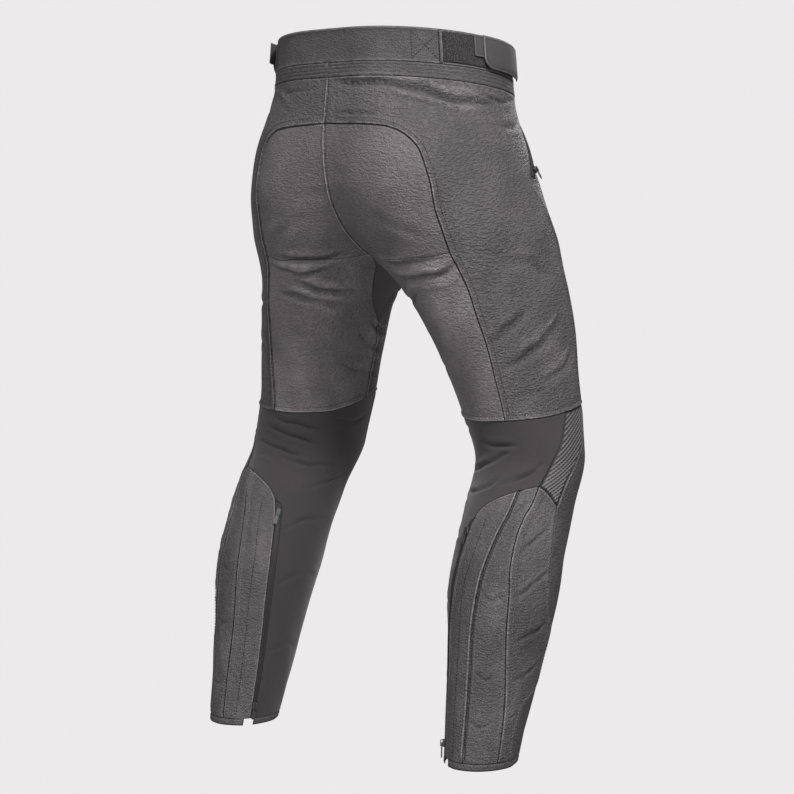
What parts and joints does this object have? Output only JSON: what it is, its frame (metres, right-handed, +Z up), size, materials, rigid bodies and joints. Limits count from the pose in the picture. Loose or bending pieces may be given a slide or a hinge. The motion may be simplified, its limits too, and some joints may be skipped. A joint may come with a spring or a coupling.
{
  "type": "leather riding pants",
  "caption": "Leather riding pants, filled out as worn, with stretch knees, accordion ribs, calf zips and a waist adjuster on each side.",
  "frame": {"origin": "centre of the waist opening, level with the waistband's top edge before its tilt", "axes": "+Z up through the waist opening, -Y to the wearer's front, +X to the wearer's left"},
  "size_m": [0.5417, 0.2964, 0.9354],
  "materials": {
    "side_leather": "faded charcoal cowhide with a fine grain, satin",
    "seat_leather": "worn, lighter charcoal cowhide with a fine grain, satin",
    "dark_leather": "dark charcoal cowhide with a fine grain, satin",
    "stretch_fabric": "matt black-brown stretch weave",
    "hook_patch": "matt hook-and-loop pile",
    "zip_tape": "matt woven tape with moulded teeth",
    "gunmetal": "dark nickel plating, satin"
  },
  "bodies": {
    "root": {"adjuster_flap_left": "dark_leather", "adjuster_flap_right": "dark_leather", "back_thigh_left": "seat_leather", "back_thigh_right": "seat_leather", "calf_back_left": "side_leather", "calf_back_right": "side_leather", "calf_low_slider_left": "gunmetal", "calf_low_slider_right": "gunmetal", "calf_outer_left": "dark_leather", "calf_outer_right": "dark_leather", "calf_strip_left": "side_leather", "calf_strip_right": "side_leather", "calf_top_slider_left": "gunmetal", "calf_top_slider_right": "gunmetal", "calf_zip_left": "zip_tape", "calf_zip_right": "zip_tape", "closure_tab": "dark_leather", "fly_flap": "side_leather", "front_thigh_left": "side_leather", "front_thigh_right": "side_leather", "gusset": "stretch_fabric", "hem_left": "dark_leather", "hem_right": "dark_leather", "hook_patch_left": "hook_patch", "hook_patch_right": "hook_patch", "knee_fabric_left": "stretch_fabric", "knee_fabric_right": "stretch_fabric", "knee_ribs_left": "dark_leather", "knee_ribs_right": "dark_leather", "pocket_left": "side_leather", "pocket_right": "side_leather", "pocket_slider_left": "gunmetal", "pocket_slider_right": "gunmetal", "pocket_zip_left": "zip_tape", "pocket_zip_right": "zip_tape", "ridged_band_left": "dark_leather", "ridged_band_right": "dark_leather", "seat_left": "seat_leather", "seat_right": "seat_leather", "shin_left": "dark_leather", "shin_right": "dark_leather", "waist_snap": "gunmetal", "waistband_back": "side_leather", "waistband_front_left": "side_leather", "waistband_front_right": "side_leather", "yoke_thigh_left": "side_leather", "yoke_thigh_right": "side_leather"},
    "calf_top_pull_left": {"calf_top_pull_left": "gunmetal"},
    "calf_top_pull_right": {"calf_top_pull_right": "gunmetal"},
    "calf_low_pull_left": {"calf_low_pull_left": "gunmetal"},
    "calf_low_pull_right": {"calf_low_pull_right": "gunmetal"},
    "pocket_pull_left": {"pocket_pull_left": "gunmetal"},
    "pocket_pull_right": {"pocket_pull_right": "gunmetal"}
  },
  "joints": [
    {"name": "calf_top_pull_left_hinge", "type": "hinge", "parent": "root", "child": "calf_top_pull_left", "pos_m": [0.15379, 0.06316, -0.64167], "axis": [0.8033, 0.5332, 0.2653], "range_deg": [0, 160]},
    {"name": "calf_top_pull_right_hinge", "type": "hinge", "parent": "root", "child": "calf_top_pull_right", "pos_m": [-0.16943, 0.07305, -0.64145], "axis": [0.9151, -0.3549, -0.1915], "range_deg": [0, 160]},
    {"name": "calf_low_pull_left_hinge", "type": "hinge", "parent": "root", "child": "calf_low_pull_left", "pos_m": [0.15769, 0.10825, -0.90792], "axis": [0.4982, 0.84, 0.2148], "range_deg": [0, 160]},
    {"name": "calf_low_pull_right_hinge", "type": "hinge", "parent": "root", "child": "calf_low_pull_right", "pos_m": [-0.16567, 0.11882, -0.90774], "axis": [0.6885, -0.7031, -0.1775], "range_deg": [0, 160]},
    {"name": "pocket_pull_left_hinge", "type": "hinge", "parent": "root", "child": "pocket_pull_left", "pos_m": [0.20068, -0.00621, -0.16634], "axis": [-0.1812, -0.7108, 0.6796], "range_deg": [0, 160]},
    {"name": "pocket_pull_right_hinge", "type": "hinge", "parent": "root", "child": "pocket_pull_right", "pos_m": [-0.19225, -0.05561, -0.17641], "axis": [-0.4261, 0.5106, -0.7468], "range_deg": [0, 160]}
  ]
}
